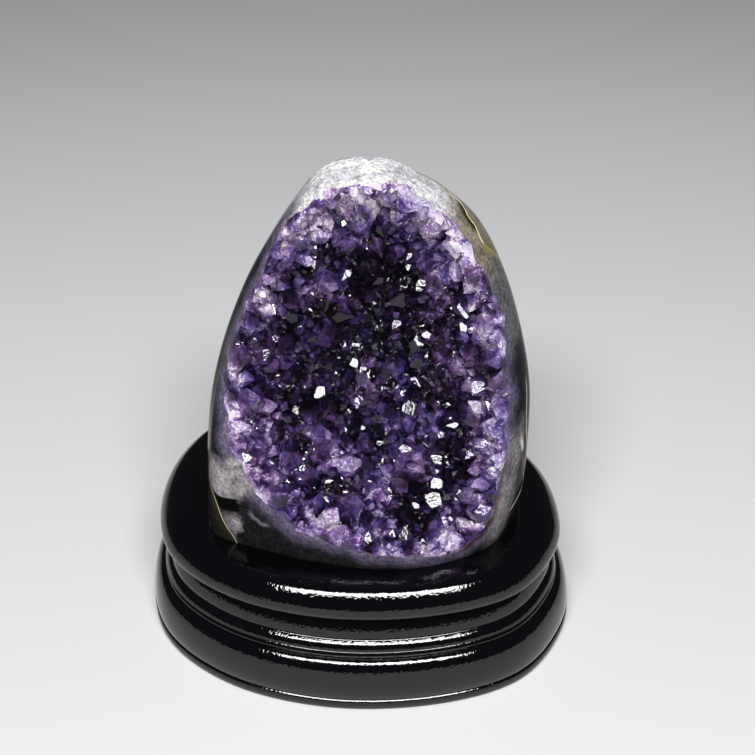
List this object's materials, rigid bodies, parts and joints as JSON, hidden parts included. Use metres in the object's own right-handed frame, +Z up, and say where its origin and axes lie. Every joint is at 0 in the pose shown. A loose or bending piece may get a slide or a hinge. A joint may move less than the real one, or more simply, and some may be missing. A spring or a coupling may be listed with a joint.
{
  "type": "amethyst cluster",
  "caption": "Polished egg-shaped geode with an open hollow lined with amethyst crystals, set in a moulded black lacquered wooden stand.",
  "frame": {"origin": "middle of the stand's underside, on the surface that it stands on", "axes": "+Z up, +X to the viewer's right, the hollow with its crystals opens towards -Y"},
  "size_m": [0.1635, 0.1292, 0.1831],
  "materials": {
    "wooden_stand": "high gloss black lacquer",
    "geode_shell": "polished",
    "amethyst_crystals": "natural shiny crystal faces"
  },
  "bodies": {
    "root": {"wooden_stand": "wooden_stand", "geode_shell": "geode_shell", "amethyst_crystals": "amethyst_crystals"}
  },
  "joints": []
}
